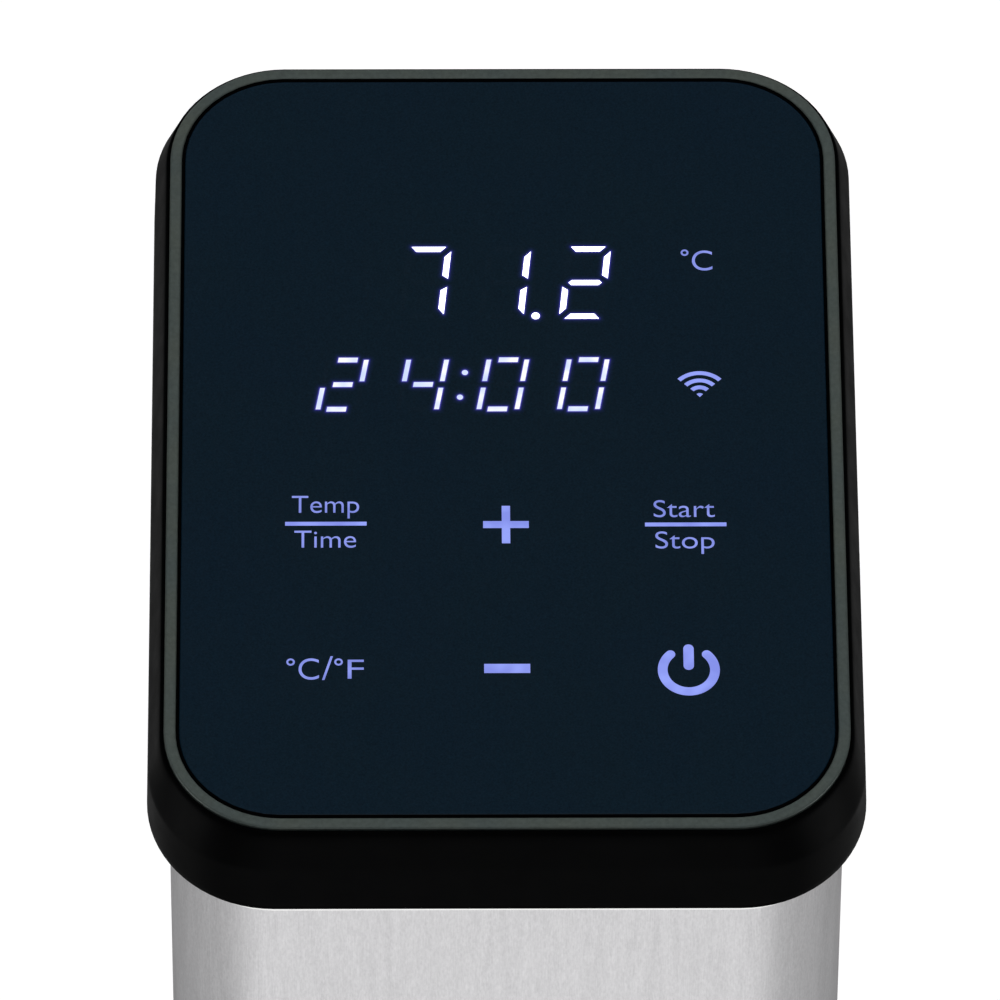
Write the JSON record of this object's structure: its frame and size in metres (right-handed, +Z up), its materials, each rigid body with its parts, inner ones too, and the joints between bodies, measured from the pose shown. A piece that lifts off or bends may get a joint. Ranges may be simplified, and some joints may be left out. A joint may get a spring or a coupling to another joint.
{
  "type": "sous vide circulator",
  "caption": "Upright immersion circulator with a sloping touch panel, brushed steel housing, pull-off immersion sleeve, heater, pump and a screw clamp for a pot rim.",
  "frame": {"origin": "on the pump axis, at the underside of the bottom cap", "axes": "+Z up along the pump shaft towards the touch panel, -Y towards the user, +X to the right seen from the front; the pot clamp is on +Y"},
  "size_m": [0.083, 0.1617, 0.3603],
  "materials": {
    "cap_plastic": "satin black moulded plastic",
    "rim_paint": "satin dark grey-green painted rim",
    "panel_glass": "back-printed navy black glass, polished",
    "lit_display": "lit blue-white display segments and key symbols behind the glass",
    "brushed_steel": "upright brushed stainless steel",
    "polished_steel": "polished stainless edge and shafts",
    "housing_plastic": "fine-grained black moulded plastic",
    "inner_plastic": "grey heat-resistant moulded plastic",
    "light_plastic": "white light-guide plastic",
    "circuit_board": "green solder mask",
    "component_black": "moulded component bodies",
    "zinc_steel": "zinc-plated screws and stampings",
    "heater_steel": "dull heat-tinted stainless heater sheath",
    "brass": "machined brass",
    "aluminium": "extruded aluminium",
    "magnet": "sintered ferrite",
    "seal_rubber": "black silicone rubber",
    "pad_rubber": "dark grey silicone rubber"
  },
  "bodies": {
    "head": {"body_sleeve": "brushed_steel", "bulkhead": "inner_plastic", "buzzer": "component_black", "cable_gland": "housing_plastic", "capacitors": "component_black", "clamp_bracket": "housing_plastic", "clamp_bracket_screws": "zinc_steel", "clamp_insert": "brass", "display_module": "lit_display", "display_ribbon": "light_plastic", "fan_frame": "component_black", "frame_screws": "zinc_steel", "gland_dome": "housing_plastic", "gland_locknut": "housing_plastic", "glass_gasket": "seal_rubber", "glass_panel": "panel_glass", "glass_rim": "rim_paint", "heat_sink": "aluminium", "heater_element": "heater_steel", "heater_nuts": "brass", "housing_seals": "seal_rubber", "inner_frame": "inner_plastic", "key_light_guide": "light_plastic", "level_rods": "polished_steel", "lower_bush": "light_plastic", "lower_housing": "housing_plastic", "motor_bracket": "zinc_steel", "motor_can": "zinc_steel", "motor_end_cap": "component_black", "motor_magnets": "magnet", "power_board": "circuit_board", "power_transformer": "component_black", "pump_cover": "housing_plastic", "pump_housing": "housing_plastic", "shaft_seal": "seal_rubber", "small_screws": "zinc_steel", "stay_rods": "polished_steel", "temp_probe": "polished_steel", "terminal_block": "circuit_board", "top_cap": "cap_plastic", "touch_board": "circuit_board", "triacs": "component_black", "trim_ring": "polished_steel", "upper_bearing": "polished_steel", "vent_grille": "housing_plastic", "wireless_module": "circuit_board"},
    "pump_rotor": {"motor_armature": "zinc_steel", "motor_shaft": "polished_steel", "shaft_coupling": "aluminium", "slinger": "seal_rubber", "pump_shaft": "polished_steel", "impeller": "inner_plastic", "impeller_nut": "polished_steel"},
    "fan_wheel": {"fan_rotor": "component_black"},
    "sleeve": {"immersion_sleeve": "brushed_steel"},
    "base_cap": {"bottom_cap": "housing_plastic"},
    "clamp_foot": {"clamp_pad": "polished_steel", "pad_facing": "pad_rubber"},
    "clamp_handle": {"clamp_screw": "polished_steel", "clamp_knob": "housing_plastic"}
  },
  "joints": [
    {"name": "pump_spin", "type": "hinge", "parent": "head", "child": "pump_rotor", "pos_m": [0, 0, 0.18], "axis": [0, 0, 1], "continuous": true},
    {"name": "fan_spin", "type": "hinge", "parent": "head", "child": "fan_wheel", "pos_m": [0, 0.0516, 0.301], "axis": [0, 1, 0], "continuous": true},
    {"name": "sleeve_pull", "type": "slide", "parent": "head", "child": "sleeve", "axis": [0, 0, -1], "range_m": [0, 0.155]},
    {"name": "cap_pull", "type": "slide", "parent": "sleeve", "child": "base_cap", "axis": [0, 0, -1], "range_m": [0, 0.02]},
    {"name": "clamp_feed", "type": "slide", "parent": "head", "child": "clamp_foot", "axis": [0, -1, 0], "range_m": [0, 0.014]},
    {"name": "clamp_turn", "type": "hinge", "parent": "clamp_foot", "child": "clamp_handle", "pos_m": [0, 0.09, 0.122], "axis": [0, -1, 0], "range_deg": [0, 1260]}
  ],
  "couplings": [
    {"joint": "clamp_turn", "follows": "clamp_feed", "rad_per_m": 1570.8}
  ]
}
